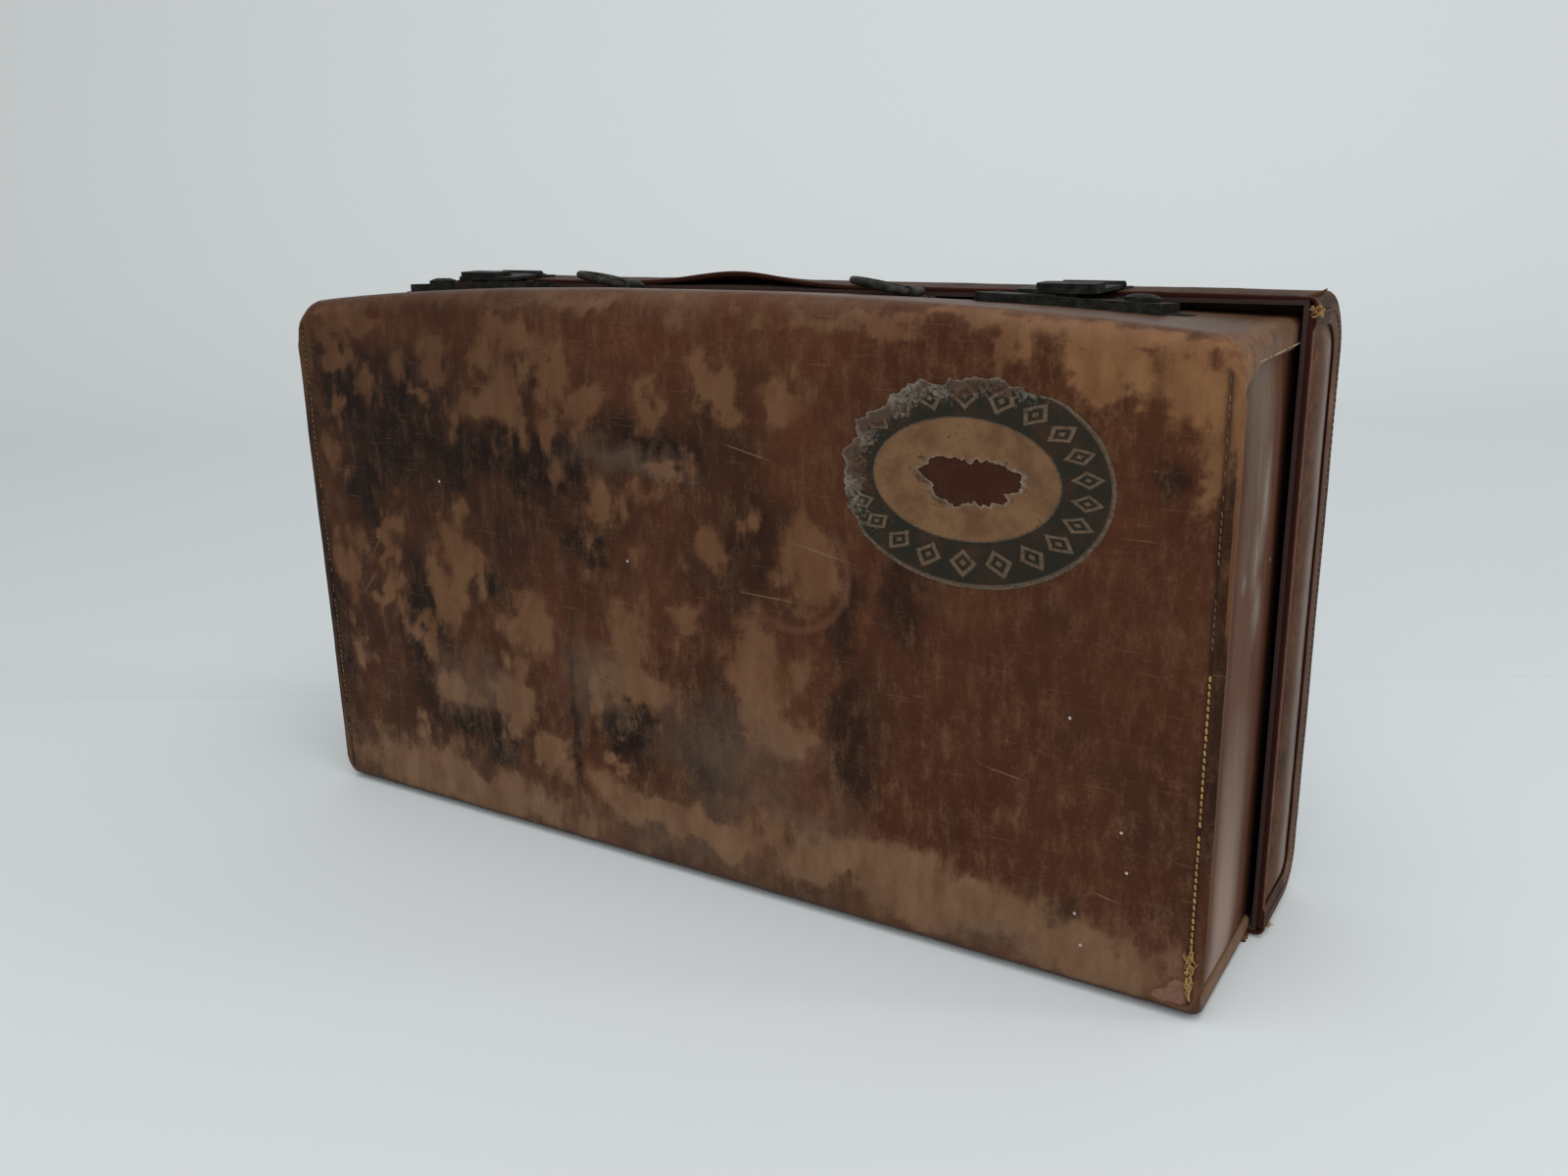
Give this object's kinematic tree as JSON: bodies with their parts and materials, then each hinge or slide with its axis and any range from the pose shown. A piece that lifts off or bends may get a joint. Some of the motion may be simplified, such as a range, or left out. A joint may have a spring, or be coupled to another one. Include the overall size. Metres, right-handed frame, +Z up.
{
  "type": "leather travel case",
  "caption": "Upright leather suitcase: arched base, deep hinged lid, sliding-knob locks with hinged hasps and two handle rings.",
  "frame": {"origin": "centre of the closed case's underside, on the surface that it stands on", "axes": "+X along the case's length, +Y from the front panel to the lid's back panel, +Z up as it stands on its hinge side"},
  "size_m": [0.66, 0.176, 0.3729],
  "materials": {
    "hide": "worn, semi-matt",
    "end_leather": "polished by handling",
    "lid_leather": "polished by handling",
    "hinge_leather": "matt",
    "board": "matt",
    "lining": "matt twill",
    "lock_iron": "blackened, worn",
    "rivet_iron": "blackened",
    "bolt_steel": "dull",
    "ring_iron": "blackened, rubbed"
  },
  "bodies": {
    "base": {"base_wrap": "hide", "end_wall_left": "end_leather", "end_wall_right": "end_leather", "front_board": "board", "top_board": "board", "bottom_board": "board", "end_board_left": "board", "end_board_right": "board", "base_lining": "lining", "hinge_leather_base": "hinge_leather", "lock_case_left": "lock_iron", "lock_case_right": "lock_iron", "lock_rivets_left": "rivet_iron", "lock_rivets_right": "rivet_iron", "ring_staple_left": "ring_iron", "ring_staple_right": "ring_iron", "staple_rivets_left": "rivet_iron", "staple_rivets_right": "rivet_iron"},
    "lid": {"lid_wrap": "lid_leather", "lid_end_left": "lid_leather", "lid_end_right": "lid_leather", "lid_board": "board", "lid_end_board_left": "board", "lid_end_board_right": "board", "lid_lining": "lining", "hinge_leather_lid": "hinge_leather", "hasp_plate_left": "lock_iron", "hasp_plate_right": "lock_iron", "hasp_rivets_left": "rivet_iron", "hasp_rivets_right": "rivet_iron", "hasp_pin_left": "rivet_iron", "hasp_pin_right": "rivet_iron"},
    "hasp_left": {"hasp_left": "lock_iron"},
    "hasp_right": {"hasp_right": "lock_iron"},
    "slide_left": {"lock_knob_left": "lock_iron", "latch_bolt_left": "bolt_steel"},
    "slide_right": {"lock_knob_right": "lock_iron", "latch_bolt_right": "bolt_steel"},
    "ring_left": {"handle_ring_left": "ring_iron"},
    "ring_right": {"handle_ring_right": "ring_iron"}
  },
  "joints": [
    {"name": "lid_hinge", "type": "hinge", "parent": "base", "child": "lid", "pos_m": [0, 0.014, 0], "axis": [-1, 0, 0], "range_deg": [0, 175]},
    {"name": "hasp_left_hinge", "type": "hinge", "parent": "lid", "child": "hasp_left", "pos_m": [-0.2095, 0.022, 0.3675], "axis": [-1, 0, 0], "range_deg": [0, 165]},
    {"name": "hasp_right_hinge", "type": "hinge", "parent": "lid", "child": "hasp_right", "pos_m": [0.2095, 0.022, 0.3675], "axis": [-1, 0, 0], "range_deg": [0, 165]},
    {"name": "knob_left_slide", "type": "slide", "parent": "base", "child": "slide_left", "axis": [-0.9992, 0, -0.0391], "range_m": [0, 0.006], "stiffness_N_per_m": 250, "springref_m": -0.003},
    {"name": "knob_right_slide", "type": "slide", "parent": "base", "child": "slide_right", "axis": [0.9992, 0, -0.0391], "range_m": [0, 0.006], "stiffness_N_per_m": 250, "springref_m": -0.003},
    {"name": "ring_left_hinge", "type": "hinge", "parent": "base", "child": "ring_left", "pos_m": [-0.091, -0.00606, 0.36342], "axis": [0, 0.9926, -0.1216], "range_deg": [-7, 150]},
    {"name": "ring_right_hinge", "type": "hinge", "parent": "base", "child": "ring_right", "pos_m": [0.113, -0.00606, 0.36316], "axis": [0, 0.9926, -0.1216], "range_deg": [-7, 150]}
  ]
}
